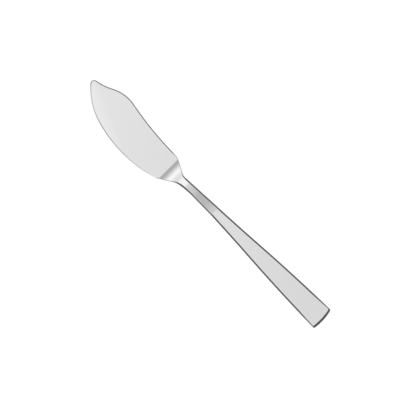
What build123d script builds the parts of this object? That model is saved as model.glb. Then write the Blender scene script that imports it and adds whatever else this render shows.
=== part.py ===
from build123d import *
from math import sqrt
import os

# Fish knife: a forged blade whose tang is cemented into a hollow handle of two brazed half shells.
# All sizes are in millimetres. While the pieces are drawn, x = 0 is the mouth of the handle, +X runs
# to the tip, +Y to the belly of the blade, and z = 0 is the plane midway between the two faces.

# Handle seen from above
HANDLE_LENGTH = 94.85
MOUTH_WIDTH = 6.5
SWELL_FROM_MOUTH = 36.0
SWELL_WIDTH = 10.5
SWELL_ANGLE = 3.8
BUTT_WIDTH = 15.3
BUTT_CROWN = 0.85
BUTT_CROWN_OFF_AXIS = 1.6
BUTT_BELLY_RADIUS = 0.6
BUTT_SPINE_RADIUS = 1.3

# Handle seen from the side
MOUTH_THICKNESS = 4.8
BUTT_THICKNESS = 6.2
BUTT_BEVEL_WIDTH = 1.5
BUTT_BEVEL_DROP = 1.3
BUTT_WASTE_ARC = 60.0
SHELL_WALL = 0.7
CAVITY_CORNER_RADIUS = 0.6

# Neck and bolster of the blade seen from above
NECK_LENGTH = 28.6
NECK_FRONT_SPINE = 1.85
NECK_FRONT_BELLY = 4.3
NECK_BELLY_TAPER = 0.2
NECK_FLARE_START = 15.0
NECK_FILLET_RADIUS = 4.5
BOLSTER_LENGTH = 10.8
HEEL_SPINE = 7.45
HEEL_BELLY = 11.0
HEEL_RADIUS = 6.0

# Blade seen from above, with the heights of the spine and belly measured from the handle's axis
BLADE_LENGTH = 72.5
POINT_SPINE = 4.9
POINT_RADIUS = 2.3
HUMP_START_BEFORE_POINT = 30.7
HUMP_START_SPINE = 11.4
HUMP_END_BEFORE_POINT = 14.5
HUMP_END_SPINE = 8.95
BELLY_LOW_PAST_HEEL = 24.9
BELLY_LOW_DEPTH = 14.9
BELLY_TURN_BEFORE_POINT = 23.8
BELLY_TURN_DEPTH = 11.7

# Blade, bolster and neck seen from the side
BLADE_THICKNESS = 1.8
BOLSTER_THICKNESS = 6.2
FOOT_BEFORE_HEEL = 1.0
RAMP_LENGTH = 8.2
FOOT_LENGTH = 1.6

# Edges and the thinned stretch of the belly towards the point
EDGE_RADIUS = 0.55
GRIND_BEFORE_POINT = 17.4
GRIND_ANGLE = 2.5

# Spigot and tang inside the handle
SPIGOT_LENGTH = 5.0
TANG_SHOULDER = 0.4
TANG_NARROWING = 1.1
TANG_SHORT_OF_BUTT = 34.85
TANG_END_CROWN = 1.0
NOTCH_PITCH = 14.0
NOTCH_RADIUS = 0.7

# Joining films and filling
BRAZE_FILM = 0.1
SOLDER_FILM = 0.1
SOLDER_GAP = 0.1
CEMENT_PAST_TANG = 10.0

# Sizes that follow from the ones above
HEEL = NECK_LENGTH + BOLSTER_LENGTH
POINT = HEEL + BLADE_LENGTH
BELLY_LOW = HEEL + BELLY_LOW_PAST_HEEL
REACH = POINT + HANDLE_LENGTH
BUTT_RADIUS = (BUTT_WIDTH ** 2 / 4 + BUTT_CROWN ** 2) / (2 * BUTT_CROWN)
BUTT_CENTRE = Vector(BUTT_RADIUS - HANDLE_LENGTH, BUTT_CROWN_OFF_AXIS)
SPIGOT_WIDTH = MOUTH_WIDTH - 2 * (SHELL_WALL + SOLDER_GAP)
SPIGOT_THICKNESS = MOUTH_THICKNESS - 2 * (SHELL_WALL + SOLDER_GAP)
TANG_WIDTH = SPIGOT_WIDTH - 2 * TANG_SHOULDER
TANG_THICKNESS = SPIGOT_THICKNESS - 2 * TANG_SHOULDER
TANG_LENGTH = HANDLE_LENGTH - TANG_SHORT_OF_BUTT


def slab(x_from, x_to):
    """Everything between two planes square to the length."""
    return Pos((x_from + x_to) / 2, 0, 0) * Box(x_to - x_from, REACH, REACH)


def handle_plan(inset, belly_radius, spine_radius):
    """Outline of the handle from above, drawn in by inset along its sides and butt."""
    mouth = MOUTH_WIDTH / 2 - inset
    swell = SWELL_WIDTH / 2 - inset
    radius = BUTT_RADIUS - inset
    corners = []
    with BuildSketch() as plan:
        with BuildLine():
            for side in (1, -1):
                corner = side * (BUTT_WIDTH / 2 - inset)
                depth = sqrt(radius ** 2 - (corner - BUTT_CENTRE.Y) ** 2)
                corners.append((BUTT_CENTRE.X - depth, corner))
                start = (-SWELL_FROM_MOUTH, side * swell)
                to_butt = Vector(-1, 0).rotate(Axis.Z, -side * SWELL_ANGLE)
                TangentArc(start, (0, side * mouth), tangent=-to_butt)
                TangentArc(start, corners[-1], tangent=to_butt)
            Line((0, mouth), (0, -mouth))
            ThreePointArc(corners[0], (BUTT_CENTRE.X - radius, BUTT_CENTRE.Y), corners[1])
        make_face()
        for corner, rounding in zip(corners, (belly_radius, spine_radius)):
            fillet(plan.vertices().sort_by_distance(corner)[0], rounding)
    return plan.sketch


def handle_profile():
    """Outline of the handle from the side: a wedge that thickens to the butt."""
    thickening = (BUTT_THICKNESS - MOUTH_THICKNESS) / HANDLE_LENGTH
    front = (SPIGOT_LENGTH, (MOUTH_THICKNESS - thickening * SPIGOT_LENGTH) / 2)
    upper = [front, (-HANDLE_LENGTH, BUTT_THICKNESS / 2)]
    lower = [(x, -z) for x, z in reversed(upper)]
    with BuildSketch(Plane.XZ) as profile:
        with BuildLine():
            Polyline(*upper, *lower, close=True)
        make_face()
    return profile.sketch


def butt_waste(inset):
    """Waste above and below the butt's broad bevel, which follows the rounded butt, drawn in by inset."""
    slope = Vector(BUTT_BEVEL_WIDTH, -BUTT_BEVEL_DROP)
    drawn_in = slope.normalized().rotate(Axis.Z, -90) * inset
    inner = Vector(BUTT_RADIUS - BUTT_BEVEL_WIDTH, BUTT_THICKNESS / 2) - slope + drawn_in
    outer = inner + slope * 3
    with BuildSketch(Plane.XZ) as section:
        Polygon((inner.X, inner.Y), (outer.X, outer.Y), (outer.X, inner.Y), align=None)
    ring = Rot(0, 0, 180 - BUTT_WASTE_ARC / 2) * revolve(section.sketch, Axis.Z, BUTT_WASTE_ARC)
    above = Pos(BUTT_CENTRE) * ring
    return above + mirror(above, about=Plane.XY)


def blade_plan():
    """Outline of the neck, bolster and blade from above."""
    mouth_spine = (0, -MOUTH_WIDTH / 2)
    mouth_belly = (0, MOUTH_WIDTH / 2)
    neck_spine = (NECK_LENGTH, -NECK_FRONT_SPINE)
    neck_belly = (NECK_LENGTH, NECK_FRONT_BELLY)
    flare = (NECK_FLARE_START, MOUTH_WIDTH / 2 - NECK_BELLY_TAPER)
    heel_spine = (HEEL, -HEEL_SPINE)
    heel_belly = (HEEL, HEEL_BELLY)
    hump_start = (POINT - HUMP_START_BEFORE_POINT, -HUMP_START_SPINE)
    hump_end = (POINT - HUMP_END_BEFORE_POINT, -HUMP_END_SPINE)
    point = (POINT, -POINT_SPINE)
    belly_turn = (POINT - BELLY_TURN_BEFORE_POINT, BELLY_TURN_DEPTH)
    belly_low = (BELLY_LOW, BELLY_LOW_DEPTH)
    with BuildSketch() as plan:
        with BuildLine():
            Polyline(mouth_belly, mouth_spine, neck_spine, heel_spine)
            back = TangentArc(heel_spine, hump_start, tangent=(1, 0))
            hump = TangentArc(hump_start, hump_end, tangent=back % 1)
            TangentArc(hump_end, point, tangent=hump % 1)
            TangentArc(belly_low, heel_belly, tangent=(-1, 0))
            rise = TangentArc(belly_low, belly_turn, tangent=(1, 0))
            TangentArc(belly_turn, point, tangent=rise % 1)
            taper = Line(mouth_belly, flare)
            TangentArc(flare, neck_belly, tangent=taper % 1)
            Line(neck_belly, heel_belly)
        make_face()
        for corner in (neck_spine, neck_belly):
            fillet(plan.vertices().sort_by_distance(corner)[0], NECK_FILLET_RADIUS)
        for corner in (heel_spine, heel_belly):
            fillet(plan.vertices().sort_by_distance(corner)[0], HEEL_RADIUS)
        fillet(plan.vertices().sort_by_distance(point)[0], POINT_RADIUS)
    return plan.sketch


def blade_profile():
    """Outline of the neck, bolster and blade from the side: a neck rising to a crest, then a ramp down."""
    foot = (HEEL - FOOT_BEFORE_HEEL, BLADE_THICKNESS / 2)
    crest = (foot[0] - RAMP_LENGTH, BOLSTER_THICKNESS / 2)
    turn = (foot[0] - FOOT_LENGTH, foot[1] + (crest[1] - foot[1]) * FOOT_LENGTH / RAMP_LENGTH)
    with BuildSketch(Plane.XZ) as profile:
        with BuildLine():
            TangentArc(crest, (0, MOUTH_THICKNESS / 2), tangent=(-1, 0))
            TangentArc(crest, turn, tangent=(1, 0))
            TangentArc(foot, turn, tangent=(-1, 0))
            Polyline(foot, (POINT, foot[1]), (POINT, 0), (0, 0), (0, MOUTH_THICKNESS / 2))
        make_face()
        mirror(about=Plane.XZ)
    return profile.sketch


def grind():
    """Waste taken off the upper face of the belly towards the point, down to a tilted plane."""
    start = Vector(BELLY_LOW, BELLY_LOW_DEPTH, BLADE_THICKNESS / 2)
    end = Vector(POINT - GRIND_BEFORE_POINT, 0, BLADE_THICKNESS / 2)
    along = (end - start).normalized()
    tilted = Plane(start, x_dir=along, z_dir=Vector(0, 0, 1).rotate(Axis((0, 0, 0), along), -GRIND_ANGLE))
    return tilted * Box(REACH, REACH, REACH, align=(Align.MIN, Align.MIN, Align.MIN))


def tang():
    """Flat tapered tang with notches down each side for the cement to key into."""
    tip_width = TANG_WIDTH - TANG_NARROWING
    tip = (TANG_END_CROWN - TANG_LENGTH, tip_width / 2)
    root = (-SPIGOT_LENGTH, TANG_WIDTH / 2)
    with BuildPart() as bar:
        with BuildSketch() as outline:
            with BuildLine():
                Polyline((0, 0), (0, root[1]), root, tip)
                mirror(about=Plane.XZ)
                ThreePointArc(tip, (-TANG_LENGTH, 0), (tip[0], -tip[1]))
            make_face()
            notch = root[0] - NOTCH_PITCH
            while notch > tip[0]:
                side = root[1] + (tip[1] - root[1]) * (notch - root[0]) / (tip[0] - root[0])
                with Locations((notch, side), (notch, -side)):
                    Circle(NOTCH_RADIUS, mode=Mode.SUBTRACT)
                notch -= NOTCH_PITCH
        extrude(amount=TANG_THICKNESS / 2, both=True)
    return bar.part


# Blade: neck, bolster and blade in one forging with its spigot and tang
forging = extrude(blade_plan(), REACH, both=True) & extrude(blade_profile(), REACH, both=True)
square_edges = forging.edges().filter_by(Axis.Y) + forging.edges().filter_by(Axis.Z)
forging = fillet([edge for edge in forging.edges() if edge not in square_edges], EDGE_RADIUS)
forging -= [grind(), mirror(grind(), about=Plane.XY)]
spigot = Box(SPIGOT_LENGTH, SPIGOT_WIDTH, SPIGOT_THICKNESS, align=(Align.MAX, Align.CENTER, Align.CENTER))
insert = spigot + tang()
blade = forging + insert

# Handle: outer body and cavity, split at the middle into two half shells
body = extrude(handle_plan(0, BUTT_BELLY_RADIUS, BUTT_SPINE_RADIUS), REACH, both=True)
body &= extrude(handle_profile(), REACH, both=True)
wide_faces = body.faces().sort_by(SortBy.AREA)[-2:]
face_edges = [edge for face in wide_faces for edge in face.edges()]
body = fillet([edge for edge in face_edges if edge not in body.edges().filter_by(Axis.Y)], EDGE_RADIUS)
body -= butt_waste(0)
cavity_profile = offset(handle_profile(), -SHELL_WALL, kind=Kind.INTERSECTION)
cavity_plan = handle_plan(SHELL_WALL, CAVITY_CORNER_RADIUS, CAVITY_CORNER_RADIUS)
cavity = extrude(cavity_plan, REACH, both=True)
cavity &= extrude(cavity_profile, REACH, both=True)
cavity -= butt_waste(SHELL_WALL)
wall = (body - cavity) & slab(-REACH, -SOLDER_FILM)
upper_half = Box(REACH, REACH, REACH, align=(Align.MAX, Align.CENTER, Align.MIN))
upper_half = Pos(0, 0, BRAZE_FILM / 2) * upper_half
handle_top_shell = wall & upper_half
handle_bottom_shell = wall & mirror(upper_half, about=Plane.XY)

# Films and filling that hold the knife together
shell_seam_braze = wall & Box(2 * REACH, REACH, BRAZE_FILM)
flange = body & slab(-SOLDER_FILM, 0)
sleeve = cavity & slab(-SPIGOT_LENGTH, -SOLDER_FILM)
mouth_solder = flange + sleeve - insert
tang_cement = (cavity & slab(-TANG_LENGTH - CEMENT_PAST_TANG, -SPIGOT_LENGTH)) - insert

pieces = {
    "blade": blade,
    "handle_top_shell": handle_top_shell,
    "handle_bottom_shell": handle_bottom_shell,
    "shell_seam_braze": shell_seam_braze,
    "mouth_solder": mouth_solder,
    "tang_cement": tang_cement,
}

# The knife lies on z = 0, with the middle of its outline on the Z axis
bounds = Compound(list(pieces.values())).bounding_box()
lying = Pos(-bounds.center().X, -bounds.center().Y, -bounds.min.Z)
os.makedirs("parts", exist_ok=True)
for name, piece in pieces.items():
    export_step(lying * piece, f"parts/{name}.step")
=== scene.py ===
import math

import bmesh
import bpy
from bpy.props import FloatProperty, FloatVectorProperty, IntProperty, PointerProperty
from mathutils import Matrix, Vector


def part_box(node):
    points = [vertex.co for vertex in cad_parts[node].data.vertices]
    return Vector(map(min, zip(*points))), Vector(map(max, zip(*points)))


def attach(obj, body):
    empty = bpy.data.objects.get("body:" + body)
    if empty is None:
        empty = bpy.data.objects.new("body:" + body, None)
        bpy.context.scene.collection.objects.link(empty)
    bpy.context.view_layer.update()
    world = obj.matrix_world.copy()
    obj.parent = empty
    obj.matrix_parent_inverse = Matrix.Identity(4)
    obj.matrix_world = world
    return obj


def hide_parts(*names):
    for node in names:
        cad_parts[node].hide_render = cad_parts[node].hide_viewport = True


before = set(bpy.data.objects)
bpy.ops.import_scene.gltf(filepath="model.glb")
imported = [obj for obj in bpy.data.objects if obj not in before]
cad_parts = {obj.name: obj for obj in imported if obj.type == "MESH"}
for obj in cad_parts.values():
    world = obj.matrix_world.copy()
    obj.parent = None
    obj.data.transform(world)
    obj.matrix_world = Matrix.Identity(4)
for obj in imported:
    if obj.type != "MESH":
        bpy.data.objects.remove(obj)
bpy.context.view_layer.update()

bl_info = {
    "name": "Fish Knife",
    "version": (1, 0, 0),
    "blender": (4, 5, 0),
    "location": "View3D > Sidebar > Fish Knife",
    "description": "A polished fish knife: forged blade, hollow handle of two half shells, studio",
    "category": "Add Mesh",
}

MM = 0.001
BODY = "root"

# Places that the frame gives: x = 0 is the mouth of the handle, +X runs to the tip, +Y to the belly
BLADE_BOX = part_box("blade")
SHELL_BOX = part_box("handle_top_shell")
SOLDER_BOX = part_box("mouth_solder")
MOUTH = Vector((
    SOLDER_BOX[1].x,
    (SOLDER_BOX[0].y + SOLDER_BOX[1].y) / 2,
    (BLADE_BOX[0].z + BLADE_BOX[1].z) / 2,
))
SHELL_FRONT = SHELL_BOX[1].x
SEAM_HEIGHT = SHELL_BOX[0].z

# Tolerances: how near counts as on a place, the grid of small moves, what faces a way, what is square to it
NEAR = 0.01 * MM
STEP = 0.002 * MM
FACING = 0.5
LEVEL = 0.99999

# The angle from which an edge is sharp, and the segments of a rounded corner
CREASE = math.radians(12)
CORNER_SEGMENTS = 10

# Distances between the sections that the bars are drawn out through
BLADE_STEP = 1 * MM
BOLSTER_STEP = 0.3 * MM
HANDLE_STEP = 2.4 * MM

# Radii before the point: how far its rounding can reach, and where the bevel's change to it starts and ends
POINT_REACH = 4
POINT_RIM = (2.4, 1.1)

# The noise from which a hair scratch shows, and the levels of worn steel and of a mottled filler's dark spots
HAIR_LIMIT = 0.67
WORN_LEVEL = 0.86
MOTTLE_LEVEL = 0.7

# How far each kind of mark takes the steel's tone to worn steel
WIPE_WEAR = 0.06
LINE_WEAR = 0.05
HAIR_WEAR = 0.12

# Roughness of the steel and of its marks, in shares of the polish, and of a filler's grain
STEEL_ROUGHNESS = 0.7
WIPE_ROUGHNESS = 0.5
HAIR_ROUGHNESS = 2
GRAIN_ROUGHNESS = 0.2

# The floor's own white, and its share in what the camera and the mirrors see beside the lit paper
FLOOR_WHITE = 1.07
FLOOR_SHARE = 0.9

# Tints of the light
WHITE = (1, 1, 1)
FROST = (0.99, 1, 1.025)
IVORY = (1, 0.995, 0.97)
SLATE = (0.9, 1, 1.15)

# The ceiling's light by the angle from straight up: degrees, level and tint
CEILING = (
    (0, 0.885, WHITE), (0.13, 0.9, WHITE), (0.26, 0.911, WHITE), (0.4, 0.934, WHITE), (0.58, 0.951, WHITE),
    (0.75, 0.97, WHITE), (1.5, 0.955, WHITE), (6, 0.95, WHITE), (8.5, 0.99, IVORY), (14, 1.12, IVORY),
    (19.4, 1.165, IVORY), (24.7, 1.15, IVORY), (30, 1.05, IVORY), (35, 0.87, IVORY), (40, 0.78, WHITE),
    (44.7, 0.62, WHITE), (49.3, 0.55, WHITE), (62, 0.48, WHITE), (70, 0.36, WHITE), (75, 0.22, SLATE),
    (77.5, 0.13, SLATE), (88, 0.12, SLATE), (90, 0.15, SLATE),
)

# The cards that the neck reflects, by the angle from straight up to the tip's side
NECK_CARDS = (
    (-8, 0.81, WHITE), (-5.4, 0.77, FROST), (-4.1, 0.59, WHITE), (-2.9, 0.59, WHITE), (-2.1, 0.727, IVORY),
    (-1.6, 0.79, IVORY), (-1.13, 0.86, IVORY), (-1.1, 1.147, IVORY), (-0.2, 1.127, IVORY),
    (-0.1, 0.97, IVORY), (-0.04, 0.89, WHITE),
)

# The card that the thinned belly reflects, by the angle from straight up to the belly's side
BELLY_CARD = (
    (0.8, 0.96, WHITE), (2.4, 0.966, WHITE), (4.8, 0.984, WHITE), (7.2, 1.003, WHITE), (9.6, 1.023, IVORY),
    (13, 1.04, IVORY),
)

# Where the cards hang: from and to which angle to the tip's side, then to the belly's side
NECK_ZONE = ((-7.5, -0.04), (-6, 6))
BELLY_ZONE = ((-0.04, 8), (0.8, 13))

# The spine's side of the light: how it darkens with each degree, and its lowest level
SPINE_SHADE = 0.33
SPINE_LEVEL = 0.982


def at(x, y=0, z=0):
    """A point of the knife, measured from the middle of the handle's mouth."""
    return MOUTH + Vector((x, y, z))


def length(name, description, millimetres):
    """A length that a user can change."""
    return FloatProperty(name=name, description=description, default=millimetres * MM,
                         min=NEAR, unit="LENGTH", subtype="DISTANCE", precision=4)


def angle(name, description, degrees):
    """An angle that a user can change."""
    return FloatProperty(name=name, description=description, default=math.radians(degrees),
                         unit="ROTATION", subtype="ANGLE")


def count(name, description, value):
    """A number of facets or cuts that a user can change."""
    return IntProperty(name=name, description=description, default=value, min=1)


def colour(name, description, value):
    """A colour that a user can change."""
    return FloatVectorProperty(name=name, description=description, default=value,
                               size=3, min=0, max=1, subtype="COLOR")


def share(name, description, value):
    """A number from 0 to 1 that a user can change."""
    return FloatProperty(name=name, description=description, default=value, min=0, max=1, subtype="FACTOR")


class FishKnifeBlade(bpy.types.PropertyGroup):
    """Sizes of the blade, bolster, neck and tang."""

    mouth_width: length("Mouth width", "Width of the neck where it meets the handle", 6.5)
    mouth_thickness: length("Mouth thickness", "Thickness of the neck where it meets the handle", 4.8)
    neck_length: length("Neck length", "From the handle to where the bolster flares", 28.6)
    neck_spine: length("Neck spine", "Half width of the neck's front on the spine side", 1.85)
    neck_belly: length("Neck belly", "Half width of the neck's front on the belly side", 4.3)
    flare_start: length("Flare start", "Where the belly side of the neck begins to curve out", 15)
    flare_waist: length("Flare waist", "Half width of the neck at the flare's start", 3.05)
    neck_rounding: length("Neck rounding", "Reach of the rounded corners in front of the neck", 1.2)
    heel_place: length("Heel place", "From the handle to the blade's heel", 39.4)
    heel_spine: length("Heel spine", "Half width of the heel on the spine side", 7.45)
    heel_belly: length("Heel belly", "Half width of the heel on the belly side", 11)
    heel_spine_rounding: length("Heel rounding, spine", "Reach of the heel's rounded spine corner", 1.4)
    heel_belly_rounding: length("Heel rounding, belly", "Reach of the heel's rounded belly corner", 0.7)
    point_place: length("Point place", "From the handle to the point before it is rounded", 111.9)
    point_spine: length("Point height", "Height of the point on the spine side", 4.9)
    point_rounding: length("Point rounding", "Radius of the rounded point", 2.3)
    point_facets: count("Point facets", "Facets of the rounded point", 12)
    hump_start: length("Hump start", "Where the hump of the spine begins, before the point", 30.7)
    hump_start_spine: length("Hump start height", "Height of the spine at the hump's start", 11.397)
    hump_end: length("Hump end", "Where the hump runs into the hollow, before the point", 14.5)
    hump_end_spine: length("Hump end height", "Height of the spine at the hump's end", 8.95)
    belly_low: length("Belly low", "From the heel to the lowest place of the belly", 24.9)
    belly_depth: length("Belly depth", "Depth of the belly at its lowest place", 14.9)
    belly_turn: length("Belly turn", "Where the belly turns up to the point, before the point", 23.8)
    belly_turn_depth: length("Belly turn depth", "Depth of the belly where it turns up", 11.7)
    thickness: length("Blade thickness", "Thickness of the flat blade", 1.8)
    crest_thickness: length("Crest thickness", "Thickness of the bolster at its crest", 6.2)
    crest_place: length("Crest place", "From the handle to the bolster's crest", 30.2)
    foot_place: length("Foot place", "From the handle to the foot of the bolster", 38.2)
    rim_width: length("Rim width", "Width of the bevel around the blade and bolster", 0.52)
    spine_rim_width: length("Spine rim width", "Width of the bevel along the blade's spine", 0.61)
    neck_rim_width: length("Neck rim width", "Width of the bevel along the neck's spine side", 0.95)
    neck_belly_rim_width: length("Neck belly rim width", "Bevel width along the neck's belly side", 0.8)
    flare_rim_width: length("Flare rim width", "Width of the belly side's bevel where the neck flares", 1.2)
    neck_rim_tilt: angle("Neck rim tilt", "Tilt of the bevel along the neck", 39.5)
    rim_fade: length("Rim fade", "How far before and past the neck's front its bevel fades", 2.8)
    bolster_rim_drop: length("Bolster rim drop", "Depth of the bevel along the bolster's flare", 0.28)
    spine_rim_drop: length("Spine rim drop", "Depth of the bevel along the blade's spine", 0.505)
    belly_rim_drop: length("Belly rim drop", "Depth of the bevel along the blade's belly", 0.34)
    front_rim_drop: length("Front rim drop", "Depth of the bevel along the belly's front", 0.265)
    point_rim_drop: length("Point rim drop", "Depth of the bevel around the point", 0.39)
    heel_rim_drop: length("Heel rim drop", "Depth of the bevel where the belly meets the heel", 0.17)
    grind_before_point: length("Grind end", "Where the thinning crosses the axis, before the point", 17.4)
    grind_angle: angle("Grind angle", "Tilt of the thinned belly at its edge", 4.8)
    grind_step: length("Grind step", "Distance between the lines where the thinned belly steepens", 1.8)
    grind_facets: count("Grind facets", "Facets of the thinned belly", 4)
    spigot_inset: length("Spigot inset", "From the neck's outline in to the spigot", 0.8)
    spigot_length: length("Spigot length", "Length of the spigot in the handle's mouth", 5)
    tang_inset: length("Tang inset", "From the spigot's outline in to the tang", 0.4)
    tang_width: length("Tang width", "Width of the tang at its root", 4.1)
    tang_narrowing: length("Tang narrowing", "How much narrower the tang is at its end", 1.1)
    notch_pitch: length("Notch pitch", "Distance between the tang's notches", 14)
    notch_depth: length("Notch depth", "Depth of each notch, and half its length", 0.7)


class FishKnifeHandle(bpy.types.PropertyGroup):
    """Sizes of the two half shells."""

    mouth_width: length("Mouth width", "Width of the handle's mouth", 6.5)
    swell_place: length("Swell place", "From the mouth to where the sides turn from hollow to round", 36)
    swell_width: length("Swell width", "Width of the handle at the swell", 10.5)
    swell_angle: angle("Swell angle", "Angle of each side at the swell", 3.8)
    butt_place: length("Butt place", "From the mouth to the end of the butt", 94.844)
    butt_width: length("Butt width", "Width of the butt", 15.3)
    butt_crown: length("Butt crown", "How far the butt is rounded out", 0.85)
    butt_crown_off_axis: length("Butt crown off axis", "How far the crown lies to the belly side", 1.6)
    belly_corner: length("Belly corner", "Reach of the butt's rounded corner on the belly side", 0.5)
    spine_corner: length("Spine corner", "Reach of the butt's rounded corner on the spine side", 0.99)
    mouth_thickness: length("Mouth thickness", "Thickness of the handle at its mouth", 4.8)
    butt_thickness: length("Butt thickness", "Thickness of the handle at its butt", 6.2)
    rim_width: length("Rim width", "Width of the bevel along the sides", 1)
    rim_fade: length("Rim fade", "Length over which the side bevel narrows to the butt", 15)
    butt_rim_width: length("Butt rim width", "Width of the side bevel at the butt's corners", 0.5)
    butt_bevel_width: length("Butt bevel width", "Width of the broad bevel across the butt", 1.58)
    butt_bevel_crown: share("Butt bevel crown", "Roundness of the bevel's inner edge against the butt", 0.7)
    belly_bevel_corner: length("Belly bevel corner", "Inner radius of the butt bevel's belly corner", 0.7)
    spine_bevel_corner: length("Spine bevel corner", "Inner radius of the butt bevel's spine corner", 1.5)
    corner_facets: count("Corner facets", "Facets of the butt bevel round each corner", 5)
    rim_tilt: angle("Rim tilt", "Tilt of the bevels", 39.5)
    wall: length("Wall", "Thickness of the stamped sheet", 0.7)
    crown_cuts: count("Crown cuts", "Cuts across the rounded butt", 9)


class FishKnifeFinish(bpy.types.PropertyGroup):
    """Colours and polish of the materials."""

    blade_steel: colour("Blade steel", "Polished steel of the blade", (0.8135, 0.812, 0.8135))
    handle_steel: colour("Handle steel", "Polished steel of the handle", (0.768, 0.767, 0.768))
    braze: colour("Braze", "Brazing alloy in the seam", (0.74, 0.66, 0.46))
    solder: colour("Solder", "Solder in the mouth of the handle", (0.6, 0.61, 0.62))
    cement: colour("Cement", "Cement around the tang", (0.46, 0.42, 0.36))
    polish: share("Polish", "Roughness of the polished steel", 0.025)
    braze_roughness: share("Braze roughness", "Roughness of the brazing alloy", 0.2)
    solder_roughness: share("Solder roughness", "Roughness of the solder", 0.3)
    cement_roughness: share("Cement roughness", "Roughness of the cement", 0.7)
    edge_break: length("Edge break", "Width of the broken sharp edges", 0.03)
    joint_recess: length("Joint recess", "How far the solder lies below the steel around it", 0.03)
    solder_wall: length("Solder wall", "Thickness of the solder around the spigot", 0.08)


class FishKnifeStudio(bpy.types.PropertyGroup):
    """Camera, floor and light."""

    picture_width: length("Picture width", "Width of the square picture on the knife", 246)
    centre_along: FloatProperty(name="Centre along", description="Middle of the picture along the knife",
                                default=11.03 * MM, unit="LENGTH")
    centre_across: FloatProperty(name="Centre across", description="Middle of the picture across the knife",
                                 default=1.43 * MM, unit="LENGTH")
    turn: angle("Turn", "Turn of the picture about the vertical", -135)
    lens: FloatProperty(name="Lens", description="Focal length", default=1000, min=50, unit="CAMERA")
    floor_size: length("Floor size", "Side of the square floor", 8000)
    floor: colour("Floor", "Colour of the floor", (0.9, 0.9, 0.9))


class Socket:
    """The output of a shader node, so that shader maths reads as arithmetic."""

    def __init__(self, board, output):
        self.board = board
        self.output = output

    def math(self, operation, first, second):
        """The result of a maths node on two sockets or numbers."""
        return self.board.add("ShaderNodeMath", {0: first, 1: second}, operation=operation)[0]

    def __add__(self, other):
        return self.math("ADD", self, other)

    __radd__ = __add__

    def __sub__(self, other):
        return self.math("SUBTRACT", self, other)

    def __rsub__(self, other):
        return self.math("SUBTRACT", other, self)

    def __mul__(self, other):
        return self.math("MULTIPLY", self, other)

    __rmul__ = __mul__

    def __truediv__(self, other):
        return self.math("DIVIDE", self, other)

    def __rtruediv__(self, other):
        return self.math("DIVIDE", other, self)

    def __pow__(self, other):
        return self.math("POWER", self, other)

    def __rpow__(self, other):
        return self.math("POWER", other, self)

    def __gt__(self, other):
        return self.math("GREATER_THAN", self, other)

    def __lt__(self, other):
        return self.math("LESS_THAN", self, other)


class Board:
    """A node tree that nodes are added to."""

    def __init__(self, tree):
        self.tree = tree
        tree.nodes.clear()

    def add(self, kind, sockets=None, stops=(), **settings):
        """Add a node with its settings, a ramp's stops and its inputs' values or links; give its outputs."""
        node = self.tree.nodes.new(kind)
        for name, value in settings.items():
            setattr(node, name, value)
        if stops:
            self.set_stops(node.color_ramp.elements, stops)
        for name, value in (sockets or {}).items():
            if isinstance(value, Socket):
                self.tree.links.new(value.output, node.inputs[name])
            else:
                node.inputs[name].default_value = value
        return {key: Socket(self, output) for key, output in
                list(enumerate(node.outputs)) + [(output.name, output) for output in node.outputs]}

    def set_stops(self, elements, stops):
        """Give a colour ramp its stops, each a place and a colour."""
        while len(elements) < len(stops):
            elements.new(1)
        for element, (place, tone) in zip(elements, stops):
            element.position = place
            element.color = tone

    def noise(self, place, scale, detail):
        """Noise of a scale, in waves to a metre."""
        return self.add("ShaderNodeTexNoise", {"Vector": place, "Scale": scale, "Detail": detail})["Fac"]

    def streaks(self, place, along, across, detail):
        """Noise that is drawn out along the knife, with its scales along and across it."""
        drawn = self.add("ShaderNodeMapping", {"Vector": place, "Scale": (along, across, across)})["Vector"]
        return self.noise(drawn, 1.0, detail)

    def mix(self, factor, first, second, blend_type="MIX"):
        """Two colours mixed by a factor."""
        sockets = {"Factor": factor, 6: first, 7: second}
        return self.add("ShaderNodeMix", sockets, data_type="RGBA", blend_type=blend_type)[2]

    def ramp(self, angle, start, end, stops):
        """A colour that changes with an angle from start to end, by stops of an angle, a level and a tint."""
        reach = end - start
        places = [((degrees - start) / reach, rgba(tint, level)) for degrees, level, tint in stops]
        return self.add("ShaderNodeValToRGB", {"Fac": (angle - start) / reach}, places)["Color"]

    def surface(self, tone, metallic, roughness, relief, strength, depth):
        """End a material's board with its tone, its roughness and a relief of a strength and depth."""
        sockets = {"Height": relief, "Strength": strength, "Distance": depth}
        bump = self.add("ShaderNodeBump", sockets)["Normal"]
        body = self.add("ShaderNodeBsdfPrincipled", {
            "Base Color": tone,
            "Metallic": metallic,
            "Roughness": roughness,
            "Normal": bump,
        })["BSDF"]
        self.add("ShaderNodeOutputMaterial", {"Surface": body})


def rgba(tone, level=1):
    """A tone at a level, as an opaque colour."""
    return (*(level * channel for channel in tone), 1)


def line(start, end):
    """Height along a straight line through two points."""
    slope = (end[1] - start[1]) / (end[0] - start[0])
    return lambda x: start[1] + slope * (x - start[0])


def arc(start, slope, end):
    """Height along the circle that leaves start at a slope and runs through end, and its slope there."""
    normal = Vector((-slope, 1)).normalized()
    chord = Vector(end) - Vector(start)
    radius = chord.length_squared / (2 * chord.dot(normal))
    centre = Vector(start) + normal * radius

    def height(x):
        return centre.y - math.copysign(math.sqrt(radius ** 2 - (x - centre.x) ** 2), radius)

    return height, (centre.x - end[0]) / (end[1] - centre.y)


def arcs(start, slope, *points):
    """Height along a chain of arcs, each tangent to the one before it."""
    chain = []
    for point in points:
        height, slope = arc(start, slope, point)
        chain.append((point[0], height))
        start = point

    def follow(x):
        return next((height for end, height in chain if x <= end), chain[-1][1])(x)

    return follow


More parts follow.
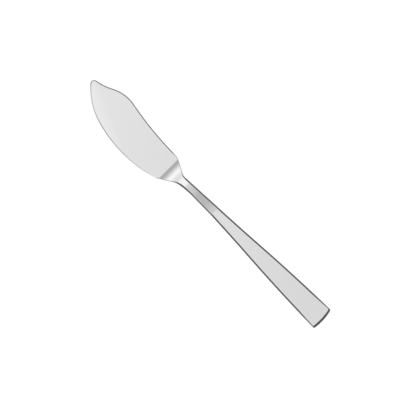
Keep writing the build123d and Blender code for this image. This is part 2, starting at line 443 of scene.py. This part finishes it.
def rounded(before, after, corner, reach):
    """Two heights that meet at a corner and run into each other over a reach to either side of it."""
    def height(x):
        along = (x - corner + reach) / (2 * reach)
        if along <= 0:
            return before(x)
        if along >= 1:
            return after(x)
        start, middle, end = before(corner - reach), after(corner), after(corner + reach)
        return (1 - along) ** 2 * start + 2 * along * (1 - along) * middle + along ** 2 * end

    return height


def spread(start, end, step):
    """Places from start up to, but not at, end, evenly spaced by about a step."""
    steps = max(1, round(abs(end - start) / step))
    return [start + (end - start) * index / steps for index in range(steps)]


def start_piece(name):
    """Stand a unit square across the knife as the first end of a bar, in edit mode."""
    bpy.ops.object.select_all(action="DESELECT")
    bpy.ops.mesh.primitive_plane_add(size=1, location=(0, 0, 0), rotation=(0, math.pi / 2, 0))
    piece = bpy.context.object
    piece.name = name
    piece.data.name = name
    bpy.ops.object.transform_apply(location=True, rotation=True, scale=True)
    bpy.ops.object.mode_set(mode="EDIT")
    bpy.ops.mesh.select_all(action="SELECT")
    return piece


def draw_out(sections):
    """Lay the selected square at the first section and extrude it from section to section.

    Each section is its place, width and thickness.
    """
    place, width, thickness = sections[0]
    bpy.ops.transform.resize(value=(1, width, thickness), center_override=(0, 0, 0))
    bpy.ops.transform.translate(value=place)
    for next_place, next_width, next_thickness in sections[1:]:
        bpy.ops.mesh.extrude_region_move(TRANSFORM_OT_translate={"value": next_place - place})
        growth = (1, next_width / width, next_thickness / thickness)
        bpy.ops.transform.resize(value=growth, center_override=next_place)
        place, width, thickness = next_place, next_width, next_thickness
    bpy.ops.mesh.select_all(action="SELECT")
    bpy.ops.mesh.remove_doubles(threshold=NEAR)
    bpy.ops.mesh.normals_make_consistent(inside=False)


def select(piece, kind, test):
    """Select only the vertices, edges or faces that pass a test."""
    bpy.ops.mesh.select_mode(type=kind)
    bpy.ops.mesh.select_all(action="DESELECT")
    mesh = bmesh.from_edit_mesh(piece.data)
    mesh.normal_update()
    members = {"VERT": mesh.verts, "EDGE": mesh.edges, "FACE": mesh.faces}[kind]
    for member in members:
        if test(member):
            member.select_set(True)
    mesh.select_flush_mode()
    bmesh.update_edit_mesh(piece.data)


def middle(edge):
    """The middle of an edge."""
    return (edge.verts[0].co + edge.verts[1].co) / 2


def direction(edge):
    """The unit direction of an edge."""
    return (edge.verts[1].co - edge.verts[0].co).normalized()


def on_outline(vertex):
    """Whether a vertex lies on the upright sides of a bar."""
    return any(abs(face.normal.z) < FACING for face in vertex.link_faces)


def inset_rim(piece, width):
    """Set the broad faces in from the outline by a width."""
    select(piece, "FACE", lambda face: abs(face.normal.z) > FACING)
    bpy.ops.mesh.inset(thickness=width, use_even_offset=True)


def shift(piece, way, amount, test):
    """Move the vertices that pass a test one way, each by an amount that depends on its place."""
    mesh = bmesh.from_edit_mesh(piece.data)
    mesh.normal_update()
    mesh.verts.index_update()
    steps = {vertex.index: round(amount(vertex.co) / STEP) for vertex in mesh.verts if test(vertex)}
    for step in sorted(set(steps.values()) - {0}):
        select(piece, "VERT", lambda vertex: steps.get(vertex.index) == step)
        bpy.ops.transform.translate(value=Vector(way) * step * STEP)


def widen_rim(piece, extra):
    """Move the inner edges of the rim away from the outline by an extra width that varies by place."""
    for side in (1, -1):
        shift(piece, (0, -side, 0), extra, lambda vertex: not on_outline(vertex)
              and (vertex.co.y - MOUTH.y) * side > 0)


def lower_rim(piece, drop):
    """Lower the outline around the broad faces by a drop that varies by place, which bevels their rim."""
    for side in (1, -1):
        shift(piece, (0, 0, -side), drop, lambda vertex: on_outline(vertex)
              and (vertex.co.z - MOUTH.z) * side > 0)


def level_way(heading):
    """The level direction at an angle from the knife's axis, +X, towards the belly."""
    return Vector((math.cos(heading), math.sin(heading), 0))


def heading_of(height, x):
    """The angle from the knife's axis at which an outline runs at a place."""
    return math.atan2(height(x + NEAR) - height(x - NEAR), 2 * NEAR)


def outward(heading):
    """The level direction at an angle from the handle's axis towards the belly, seen from its middle."""
    return Vector((-math.cos(heading), math.sin(heading), 0))


def grade(place, start, end):
    """How far a place lies from start to end, from 0 to 1."""
    return min(1, max(0, (place - start) / (end - start)))


def stations(x, *points):
    """A value at x that runs straight from one station to the next, each a place and its value."""
    value = points[0][1]
    for (start, before), (end, after) in zip(points, points[1:]):
        value += (after - before) * grade(x, start, end)
    return value


def cut_selected(place, normal, fill=False, **clear):
    """Cut what is selected by a plane, with clear_inner or clear_outer to take one side away."""
    bpy.ops.mesh.bisect(plane_co=place, plane_no=normal, use_fill=fill, threshold=NEAR / 10, **clear)


def cut(place, normal, fill=False, **clear):
    """Cut the whole piece by a plane in the same way."""
    bpy.ops.mesh.select_all(action="SELECT")
    cut_selected(place, normal, fill, **clear)


def finish_piece(piece, node, material, edge_break):
    """Break the sharp edges, keep flat faces flat in reflections, and put the piece in its node's place."""
    bpy.ops.object.mode_set(mode="OBJECT")
    bevel = piece.modifiers.new("broken_edges", "BEVEL")
    bevel.width = edge_break
    bevel.segments = 1
    bevel.limit_method = "ANGLE"
    bevel.angle_limit = CREASE
    bevel.use_clamp_overlap = False
    bpy.ops.object.modifier_apply(modifier=bevel.name)
    bpy.ops.object.shade_smooth_by_angle(angle=CREASE)
    normals = piece.modifiers.new("flat_faces", "WEIGHTED_NORMAL")
    normals.keep_sharp = True
    normals.thresh = 0
    bpy.ops.object.modifier_apply(modifier=normals.name)
    piece.data.materials.append(material)
    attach(piece, BODY)
    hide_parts(node)


def new_material(name):
    """An empty node material and its board."""
    material = bpy.data.materials.new(name)
    material.use_nodes = True
    return material, Board(material.node_tree)


def polished_steel(name, steel, polish):
    """Mirror-polished stainless steel with polishing lines along the knife, wipe marks and hair scratches."""
    material, board = new_material(name)
    place = board.add("ShaderNodeTexCoord")["Object"]
    lines = board.streaks(place, along=90, across=5200, detail=3.0)
    wipes = board.noise(place, scale=70.0, detail=4.0)
    hairs = board.streaks(place, along=160, across=11000, detail=1.0) > HAIR_LIMIT
    wear = wipes * WIPE_WEAR + lines * LINE_WEAR + hairs * HAIR_WEAR
    tone = board.mix(wear, rgba(steel), rgba(steel, WORN_LEVEL))
    marks = wipes * (polish * WIPE_ROUGHNESS) + hairs * (polish * HAIR_ROUGHNESS)
    roughness = marks + polish * STEEL_ROUGHNESS
    board.surface(tone, 1.0, roughness, relief=lines, strength=0.03, depth=0.002 * MM)
    return material


def dull_metal(name, tone, roughness, metallic=1.0):
    """A cast or flowed filler with a mottled, slightly pitted surface."""
    material, board = new_material(name)
    place = board.add("ShaderNodeTexCoord")["Object"]
    mottle = board.noise(place, scale=900.0, detail=5.0)
    grain = board.noise(place, scale=4000.0, detail=3.0)
    shade = board.mix(mottle, rgba(tone), rgba(tone, MOTTLE_LEVEL))
    pitted = grain * GRAIN_ROUGHNESS + roughness
    board.surface(shade, metallic, pitted, relief=grain, strength=0.4, depth=0.03 * MM)
    return material


def blade_outline(size):
    """Heights of the spine and of the belly along the blade, as functions of the place."""
    neck, heel, point = size.neck_length, size.heel_place, size.point_place
    tip = (point, -size.point_spine)
    neck_spine = line((0, -size.mouth_width / 2), (neck, -size.neck_spine))
    flare_spine = line((neck, -size.neck_spine), (heel, -size.heel_spine))
    back = arcs((heel, -size.heel_spine), 0, (point - size.hump_start, -size.hump_start_spine),
                (point - size.hump_end, -size.hump_end_spine), tip)
    spine = rounded(flare_spine, back, heel, size.heel_spine_rounding)
    spine = rounded(neck_spine, spine, neck, size.neck_rounding)

    waist = (size.flare_start, size.flare_waist)
    neck_side = line((0, size.mouth_width / 2), waist)
    waist_slope = (size.flare_waist - size.mouth_width / 2) / size.flare_start
    neck_curve, _ = arc(waist, waist_slope, (neck, size.neck_belly))
    flare_belly = line((neck, size.neck_belly), (heel, size.heel_belly))
    low = (heel + size.belly_low, size.belly_depth)
    heel_curve, _ = arc(low, 0, (heel, size.heel_belly))
    front = arcs(low, 0, (point - size.belly_turn, size.belly_turn_depth), tip)

    def belly_base(x):
        return heel_curve(x) if x < low[0] else front(x)

    def neck_base(x):
        return neck_side(x) if x < waist[0] else neck_curve(x)

    belly = rounded(flare_belly, belly_base, heel, size.heel_belly_rounding)
    belly = rounded(neck_base, belly, neck, size.neck_rounding)
    return spine, belly


def blade_height(size):
    """Half thickness along the blade: a neck rising to the crest, a round ramp down to the flat blade."""
    crest = (size.crest_place, size.crest_thickness / 2)
    foot = (size.foot_place, size.thickness / 2)
    neck, _ = arc(crest, 0, (0, size.mouth_thickness / 2))
    ramp, _ = arc(crest, 0, foot)

    def height(x):
        if x < crest[0]:
            return neck(x)
        return ramp(x) if x < foot[0] else foot[1]

    return height


def touching_circle(spine, belly, point, radius):
    """The circle that touches the spine and the belly before the point: its centre, its headings to them."""
    near, far = point - POINT_REACH * radius, point
    while far - near > NEAR / 10:
        foot = (near + far) / 2
        to_spine = heading_of(spine, foot) - math.pi / 2
        centre = at(foot, spine(foot)) - level_way(to_spine) * radius
        gaps = {(at(x, belly(x)) - centre).length: x for x in spread(foot, point, NEAR)}
        near, far = (foot, far) if min(gaps) > radius else (near, foot)
    return centre, to_spine, heading_of(belly, gaps[min(gaps)]) + math.pi / 2


class FISHKNIFE_OT_blade(bpy.types.Operator):
    """Draw out the blade with its bolster and neck, bevel its rim and add the tang"""

    bl_idname = "fishknife.blade"
    bl_label = "Blade"

    def execute(self, context):
        size = context.scene.fish_knife_blade
        finish = context.scene.fish_knife_finish
        piece = start_piece("forged_blade")
        self.forge(size)
        self.round_point(piece, size)
        self.thin_belly(piece, size)
        inset_rim(piece, size.rim_width)
        widen_rim(piece, lambda place: self.rim(size, place)[0] - size.rim_width)
        lower_rim(piece, lambda place: self.rim(size, place)[1])
        cut(at(0), (1, 0, 0), fill=True, clear_inner=True)
        self.add_tang(piece, size)
        material = polished_steel("blade_polish", finish.blade_steel, finish.polish)
        finish_piece(piece, "blade", material, finish.edge_break)
        return {"FINISHED"}

    def forge(self, size):
        """Draw the bar out to the outline, from a little behind the mouth to the point."""
        spine, belly = blade_outline(size)
        height = blade_height(size)
        bolster_start = size.neck_length - 2 * size.neck_rounding
        bolster_end = size.heel_place + 2 * size.heel_spine_rounding
        places = [-2 * size.rim_width]
        places += spread(0, bolster_start, BLADE_STEP)
        places += spread(bolster_start, size.foot_place, BOLSTER_STEP)
        places += spread(size.foot_place, bolster_end, BOLSTER_STEP)
        places += spread(bolster_end, size.point_place, BLADE_STEP) + [size.point_place]
        sections = []
        for x in places:
            width = belly(x) - spine(x)
            sections.append((at(x, (belly(x) + spine(x)) / 2), max(width, NEAR / 10), 2 * height(x)))
        draw_out(sections)

    def round_point(self, piece, size):
        """Cut the point round, in facets along the circle that touches the spine and the belly."""
        radius = size.point_rounding
        centre, to_spine, to_belly = touching_circle(*blade_outline(size), size.point_place, radius)
        turn = (to_belly - to_spine) / size.point_facets
        for index in range(size.point_facets):
            way = level_way(to_spine + turn * (index + 0.5))
            select(piece, "FACE", lambda face: face.calc_center_median().x > centre.x - radius)
            cut_selected(centre + way * radius * math.cos(turn / 2), way, fill=True, clear_outer=True)

    def thin_belly(self, piece, size):
        """Tilt a stretch of both faces towards the belly, in facets that grow steeper to its edge."""
        start = at(size.heel_place + size.belly_low, size.belly_depth)
        along = (at(size.point_place - size.grind_before_point) - start).normalized()
        to_belly = Vector((-along.y, along.x, 0))
        slant = math.atan2(along.y, along.x)
        turn = size.grind_angle / size.grind_facets
        height = size.thickness / 2
        for facet in range(size.grind_facets):
            origin = start + to_belly * size.grind_step * facet
            cut(origin, to_belly)
            for side in (1, -1):
                select(piece, "VERT", lambda vertex: (vertex.co - origin).dot(to_belly) > NEAR
                       and vertex.co.x > start.x and (vertex.co.z - MOUTH.z) * side > 0)
                pivot = origin + Vector((0, 0, side * height))
                bpy.ops.transform.rotate(value=slant, orient_axis="Z", center_override=pivot)
                bpy.ops.transform.rotate(value=side * turn, orient_axis="X", center_override=pivot)
                bpy.ops.transform.rotate(value=-slant, orient_axis="Z", center_override=pivot)
            height -= size.grind_step * math.tan(turn * (facet + 1))
        foot = at(size.foot_place).x
        for facet in range(size.grind_facets + 1):
            level = math.cos(turn * facet)
            select(piece, "FACE", lambda face: abs(abs(face.normal.z) - level) < 1 - LEVEL
                   and face.calc_center_median().x > foot)
            bpy.ops.mesh.dissolve_faces()
        select(piece, "VERT", lambda vertex: len(vertex.link_edges) == 2)
        bpy.ops.mesh.dissolve_verts()

    def rim(self, size, place):
        """Width and depth of the bevel at a place of the outline."""
        x = place.x - MOUTH.x
        steep = math.tan(size.neck_rim_tilt)
        fade = size.neck_length - size.rim_fade
        run_out = size.neck_length + size.rim_fade
        foot = size.foot_place
        heel = size.heel_place + size.heel_spine_rounding
        back = heel + 2 * size.heel_spine_rounding
        low = size.heel_place + size.belly_low
        hump = size.point_place - size.hump_start
        turn = size.point_place - size.belly_turn
        front = size.point_place - size.hump_end
        tip, end = (size.point_place - size.point_rounding * radii for radii in POINT_RIM)
        if place.y < MOUTH.y - size.point_spine * grade(x, hump, size.point_place):
            wide = size.neck_rim_width
            width = stations(x, (fade, wide), (run_out, size.rim_width), (foot, size.rim_width),
                             (back, size.spine_rim_width), (tip, size.spine_rim_width),
                             (end, size.rim_width))
            drop = stations(x, (fade, wide * steep), (run_out, size.bolster_rim_drop),
                            (heel, size.bolster_rim_drop), (back, size.spine_rim_drop),
                            (tip, size.spine_rim_drop), (end, size.point_rim_drop))
            return width, drop
        wide = size.neck_belly_rim_width
        flare = size.flare_rim_width
        width = stations(x, (size.flare_start, wide), (fade, flare), (run_out, size.rim_width))
        drop = stations(x, (size.flare_start, wide * steep), (fade, flare * steep),
                        (run_out, size.bolster_rim_drop), (foot, size.bolster_rim_drop),
                        (heel, size.heel_rim_drop), (low, size.belly_rim_drop), (turn, size.belly_rim_drop),
                        (front, size.front_rim_drop), (tip, size.front_rim_drop),
                        (end, size.point_rim_drop))
        return width, drop

    def add_tang(self, piece, size):
        """Set the neck's end in to the spigot, and draw that out to a tapered tang with notches."""
        select(piece, "FACE", lambda face: face.normal.x < -LEVEL)
        bpy.ops.mesh.inset(thickness=size.spigot_inset, use_even_offset=True)
        bpy.ops.mesh.extrude_region_move(TRANSFORM_OT_translate={"value": (-size.spigot_length, 0, 0)})
        bpy.ops.mesh.inset(thickness=size.tang_inset, use_even_offset=True)
        end = BLADE_BOX[0].x - at(-size.spigot_length).x
        steps = [(0, size.tang_width)]
        notch = -size.notch_pitch
        while notch > end + size.notch_pitch / 2:
            width = size.tang_width - size.tang_narrowing * notch / end
            steps += [(notch + size.notch_depth, width), (notch, width - 2 * size.notch_depth),
                      (notch - size.notch_depth, width)]
            notch -= size.notch_pitch
        tip_width = size.tang_width - size.tang_narrowing
        steps += [(end + size.notch_depth, tip_width), (end, tip_width - 2 * size.notch_depth)]
        for (place, width), (next_place, next_width) in zip(steps, steps[1:]):
            bpy.ops.mesh.extrude_region_move(TRANSFORM_OT_translate={"value": (next_place - place, 0, 0)})
            bpy.ops.transform.resize(value=(1, next_width / width, 1), center_override=at(next_place))


class FISHKNIFE_OT_shells(bpy.types.Operator):
    """Draw out the handle, bevel it, and part it into two hollow half shells"""

    bl_idname = "fishknife.shells"
    bl_label = "Handle shells"

    def execute(self, context):
        size = context.scene.fish_knife_handle
        finish = context.scene.fish_knife_finish
        material = polished_steel("handle_polish", finish.handle_steel, finish.polish)
        top = start_piece("upper_shell")
        self.draw_handle(size)
        self.crown_butt(top, size)
        inset_rim(top, size.butt_rim_width)
        widen_rim(top, lambda place: self.side_rim(size, place) - size.butt_rim_width)
        lower_rim(top, lambda place: self.side_rim(size, place) * math.tan(size.rim_tilt))
        self.bevel_butt(size)
        cut((SHELL_FRONT, 0, 0), (1, 0, 0), clear_outer=True)
        cut((0, 0, SEAM_HEIGHT), (0, 0, 1), clear_inner=True)
        bpy.ops.object.mode_set(mode="OBJECT")
        bpy.ops.object.duplicate()
        bottom = context.object
        bottom.name = bottom.data.name = "lower_shell"
        bpy.ops.object.mode_set(mode="EDIT")
        bpy.ops.mesh.select_all(action="SELECT")
        bpy.ops.transform.resize(value=(1, 1, -1), center_override=MOUTH)
        bpy.ops.mesh.flip_normals()
        bpy.ops.object.mode_set(mode="OBJECT")
        for piece, node in ((top, "handle_top_shell"), (bottom, "handle_bottom_shell")):
            bpy.ops.object.select_all(action="DESELECT")
            piece.select_set(True)
            context.view_layer.objects.active = piece
            wall = piece.modifiers.new("wall", "SOLIDIFY")
            wall.thickness = size.wall
            wall.offset = -1
            wall.use_quality_normals = True
            bpy.ops.object.modifier_apply(modifier=wall.name)
            finish_piece(piece, node, material, finish.edge_break)
        return {"FINISHED"}

    def draw_handle(self, size):
        """Draw a tapered bar out from a little in front of the mouth to the butt's corners."""
        swell = (-size.swell_place, size.swell_width / 2)
        slope = -math.tan(size.swell_angle)
        corner = size.butt_crown - size.butt_place
        front, _ = arc(swell, slope, (0, size.mouth_width / 2))
        rear, _ = arc(swell, slope, (corner, size.butt_width / 2))
        thickness = line((0, size.mouth_thickness), (-size.butt_place, size.butt_thickness))
        places = spread(2 * size.rim_width, corner, HANDLE_STEP) + [corner]
        sections = []
        for x in places:
            half = front(x) if x > swell[0] else rear(x)
            sections.append((at(x), 2 * half, thickness(x)))
        draw_out(sections)

    def crown_butt(self, piece, size):
        """Round the butt's end out and its corners off."""
        corner = at(size.butt_crown - size.butt_place).x
        half = size.butt_width / 2
        select(piece, "EDGE", lambda edge: abs(middle(edge).x - corner) < NEAR
               and abs(direction(edge).y) > FACING)
        bpy.ops.mesh.subdivide(number_cuts=size.crown_cuts)
        for index in range(size.crown_cuts + 2):
            across = at(0, size.butt_width * index / (size.crown_cuts + 1) - half).y
            select(piece, "VERT", lambda vertex: abs(vertex.co.x - corner) < NEAR
                   and abs(vertex.co.y - across) < NEAR)
            bpy.ops.transform.translate(value=(self.butt_end(size, across) - corner, 0, 0))
        select(piece, "FACE", lambda face: abs(face.normal.z) > FACING)
        bpy.ops.mesh.dissolve_faces()
        for side, reach in ((1, size.belly_corner), (-1, size.spine_corner)):
            select(piece, "EDGE", lambda edge: middle(edge).x < corner + size.butt_crown
                   and abs(direction(edge).z) > FACING and (middle(edge).y - MOUTH.y) * side > half - NEAR)
            bpy.ops.mesh.bevel(offset_type="OFFSET", offset=reach, segments=CORNER_SEGMENTS, affect="EDGES")

    def bevel_butt(self, size):
        """Cut the broad bevel off the butt, in facets that follow its crown and turn round its corners."""
        half = size.butt_width / 2
        facets = size.crown_cuts + 1
        for index in range(facets):
            across = at(0, size.butt_width * (index + 0.5) / facets - half).y
            heading = self.heading(size, across)
            edge = Vector((self.butt_end(size, across), across, 0))
            self.cut_facet(size, edge - outward(heading) * self.end_rim(size, across), heading)
        for side, radius in ((1, size.belly_bevel_corner), (-1, size.spine_bevel_corner)):
            across = at(0, side * (half - size.butt_rim_width - radius)).y
            heading = self.heading(size, across)
            reach = (self.end_rim(size, across) + radius) / math.cos(heading)
            centre = Vector((self.butt_end(size, across) + reach, across, 0))
            turn = (side * math.pi / 2 - heading) / (size.corner_facets + 1)
            for index in range(size.corner_facets):
                heading += turn
                self.cut_facet(size, centre + outward(heading) * radius, heading)

    def cut_facet(self, size, inner, heading):
        """Cut one facet of the bevel, which falls away from a point of its inner edge."""
        inner.z = MOUTH.z + size.butt_thickness / 2
        normal = outward(heading) * math.sin(size.rim_tilt) + Vector((0, 0, math.cos(size.rim_tilt)))
        cut(inner, normal, fill=True, clear_outer=True)

    def crown_radius(self, size):
        """Radius of the rounded butt."""
        return ((size.butt_width / 2) ** 2 + size.butt_crown ** 2) / (2 * size.butt_crown)

    def heading(self, size, across):
        """Angle from the knife's axis that the butt faces at a place across it."""
        return math.asin((across - at(0, size.butt_crown_off_axis).y) / self.crown_radius(size))

    def butt_end(self, size, across):
        """Where the butt ends at a place across it: a circle whose crown lies off the axis."""
        radius = self.crown_radius(size)
        return at(radius - size.butt_place).x - radius * math.cos(self.heading(size, across))

    def side_rim(self, size, place):
        """Width of the bevel along the sides, which narrows to the butt."""
        return stations(place.x - MOUTH.x, (-size.butt_place, size.butt_rim_width),
                        (size.rim_fade - size.butt_place, size.rim_width))

    def end_rim(self, size, across):
        """Width of the bevel across the butt, widest at its crown."""
        hollow = self.butt_end(size, across) - at(-size.butt_place).x
        return size.butt_bevel_width - (1 - size.butt_bevel_crown) * hollow


class FISHKNIFE_OT_solder(bpy.types.Operator):
    """Make the solder: a film between neck and handle, with a sleeve around the spigot"""

    bl_idname = "fishknife.solder"
    bl_label = "Mouth solder"

    def execute(self, context):
        blade = context.scene.fish_knife_blade
        finish = context.scene.fish_knife_finish
        piece = start_piece("solder_ring")
        width = blade.mouth_width - 2 * finish.joint_recess
        thickness = blade.mouth_thickness - 2 * finish.joint_recess
        hole = blade.spigot_inset - finish.joint_recess
        sleeve = 2 * (hole - finish.solder_wall)
        rear, film, front = SOLDER_BOX[0].x, SHELL_FRONT, MOUTH.x
        draw_out([
            (Vector((rear, MOUTH.y, MOUTH.z)), width - sleeve, thickness - sleeve),
            (Vector((film, MOUTH.y, MOUTH.z)), width - sleeve, thickness - sleeve),
            (Vector((film, MOUTH.y, MOUTH.z)), width, thickness),
            (Vector((front, MOUTH.y, MOUTH.z)), width, thickness),
        ])
        select(piece, "FACE", lambda face: face.normal.x > LEVEL
               and face.calc_center_median().x > front - NEAR)
        bpy.ops.mesh.inset(thickness=hole, use_even_offset=True)
        bpy.ops.mesh.extrude_region_move(TRANSFORM_OT_translate={"value": (rear - front, 0, 0)})
        select(piece, "FACE", lambda face: abs(face.normal.x) > LEVEL
               and face.calc_center_median().x < rear + NEAR)
        bpy.ops.mesh.delete(type="FACE")
        select(piece, "EDGE", lambda edge: edge.is_boundary)
        bpy.ops.mesh.bridge_edge_loops()
        select(piece, "EDGE", lambda edge: film < middle(edge).x < front and abs(direction(edge).x) > FACING
               and abs(middle(edge).y - MOUTH.y) > width / 2 - NEAR)
        bpy.ops.mesh.bevel(offset_type="OFFSET", offset=blade.neck_rim_width, segments=1, affect="EDGES")
        bpy.ops.mesh.select_all(action="SELECT")
        bpy.ops.mesh.normals_make_consistent(inside=False)
        material = dull_metal("solder_film", finish.solder, finish.solder_roughness)
        finish_piece(piece, "mouth_solder", material, NEAR)
        return {"FINISHED"}


class FISHKNIFE_OT_fillers(bpy.types.Operator):
    """Give the braze and the cement their finish"""

    bl_idname = "fishknife.fillers"
    bl_label = "Braze and cement"

    def execute(self, context):
        finish = context.scene.fish_knife_finish
        fillers = {
            "shell_seam_braze": dull_metal("seam_braze", finish.braze, finish.braze_roughness),
            "tang_cement": dull_metal("tang_cement", finish.cement, finish.cement_roughness, metallic=0.0),
        }
        for node, material in fillers.items():
            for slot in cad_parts[node].material_slots:
                slot.material = material
        return {"FINISHED"}


class FISHKNIFE_OT_studio(bpy.types.Operator):
    """Set up the floor, the light all round and the camera overhead"""

    bl_idname = "fishknife.studio"
    bl_label = "Studio"

    def execute(self, context):
        studio = context.scene.fish_knife_studio
        context.scene.view_settings.view_transform = "Standard"
        self.lay_floor(studio)
        self.light(context)
        self.set_camera(context, studio)
        return {"FINISHED"}

    def lay_floor(self, studio):
        """A white floor that shows white to the camera and in reflections, and keeps a soft shadow."""
        bpy.ops.object.select_all(action="DESELECT")
        bpy.ops.mesh.primitive_plane_add(size=studio.floor_size)
        floor = bpy.context.object
        floor.name = "studio_floor"
        material, board = new_material("white_floor")
        ray = board.add("ShaderNodeLightPath")
        seen = ray["Is Camera Ray"] + ray["Is Glossy Ray"] + ray["Is Transmission Ray"]
        paper = board.add("ShaderNodeBsdfDiffuse", {"Color": rgba(studio.floor)})["BSDF"]
        white = board.add("ShaderNodeEmission", {"Color": rgba(WHITE), "Strength": FLOOR_WHITE})["Emission"]
        mix = board.add("ShaderNodeMixShader", {"Fac": seen * FLOOR_SHARE, 1: paper, 2: white})["Shader"]
        board.add("ShaderNodeOutputMaterial", {"Surface": mix})
        floor.data.materials.append(material)

    def light(self, context):
        """Light from all round: a ceiling that darkens to the horizon and the spine's side, with cards."""
        world = bpy.data.worlds.new("studio_light")
        context.scene.world = world
        world.use_nodes = True
        board = Board(world.node_tree)
        ray = board.add("ShaderNodeTexCoord")["Generated"]
        way = board.add("ShaderNodeSeparateXYZ", {"Vector": ray})
        x, y, z = way["X"], way["Y"], way["Z"]
        from_zenith = self.degrees((x * x + y * y) ** 0.5, z)
        to_tip = self.degrees(x, z)
        to_belly = self.degrees(y, z)
        tone = board.ramp(from_zenith, 0, 90, CEILING)
        cards = board.ramp(to_tip, -8, 0, NECK_CARDS)
        tone = board.mix(self.inside(to_tip, to_belly, NECK_ZONE), tone, cards)
        card = board.ramp(to_belly, 0, 13, BELLY_CARD)
        tone = board.mix(self.inside(to_tip, to_belly, BELLY_ZONE), tone, card)
        shade = board.add("ShaderNodeClamp", {
            "Value": to_belly * SPINE_SHADE + 1,
            "Min": SPINE_LEVEL,
            "Max": 1.0,
        })["Result"]
        tone = board.mix(1.0, tone, shade, blend_type="MULTIPLY")
        sky = board.add("ShaderNodeBackground", {"Color": tone, "Strength": 1.0})["Background"]
        board.add("ShaderNodeOutputWorld", {"Surface": sky})

    def degrees(self, level, upright):
        """The angle from straight up of a direction, from its level and its upright part."""
        return level.math("ARCTAN2", level, upright) * (180 / math.pi)

    def inside(self, to_tip, to_belly, zone):
        """1 where both angles lie in a zone, and 0 elsewhere."""
        (tip_start, tip_end), (belly_start, belly_end) = zone
        return (to_tip > tip_start) * (to_tip < tip_end) * (to_belly > belly_start) * (to_belly < belly_end)

    def set_camera(self, context, studio):
        """A long lens that looks straight down on the knife."""
        bpy.ops.object.camera_add()
        camera = context.object
        camera.name = "overhead_camera"
        camera.data.lens = studio.lens
        distance = studio.picture_width * studio.lens / camera.data.sensor_width
        camera.location = at(studio.centre_along, studio.centre_across, distance)
        camera.rotation_euler = (0, 0, studio.turn)
        context.scene.camera = camera


class FISHKNIFE_PT_panel(bpy.types.Panel):
    """Lists the sizes and the steps of the fish knife"""

    bl_idname = "FISHKNIFE_PT_panel"
    bl_label = "Fish Knife"
    bl_space_type = "VIEW_3D"
    bl_region_type = "UI"
    bl_category = "Fish Knife"

    def draw(self, context):
        for step in STEPS:
            self.layout.operator(step.bl_idname)
        for name, group in GROUPS.items():
            box = self.layout.box()
            for prop in group.__annotations__:
                box.prop(getattr(context.scene, name), prop)


GROUPS = {
    "fish_knife_blade": FishKnifeBlade,
    "fish_knife_handle": FishKnifeHandle,
    "fish_knife_finish": FishKnifeFinish,
    "fish_knife_studio": FishKnifeStudio,
}
STEPS = (
    FISHKNIFE_OT_blade,
    FISHKNIFE_OT_shells,
    FISHKNIFE_OT_solder,
    FISHKNIFE_OT_fillers,
    FISHKNIFE_OT_studio,
)
CLASSES = (*GROUPS.values(), *STEPS, FISHKNIFE_PT_panel)


def register():
    for kind in CLASSES:
        bpy.utils.register_class(kind)
    for name, group in GROUPS.items():
        setattr(bpy.types.Scene, name, PointerProperty(type=group))


def unregister():
    for name in GROUPS:
        delattr(bpy.types.Scene, name)
    for kind in reversed(CLASSES):
        bpy.utils.unregister_class(kind)


def main():
    register()
    bpy.ops.fishknife.blade()
    bpy.ops.fishknife.shells()
    bpy.ops.fishknife.solder()
    bpy.ops.fishknife.fillers()
    bpy.ops.fishknife.studio()


if __name__ == "__main__":
    main()
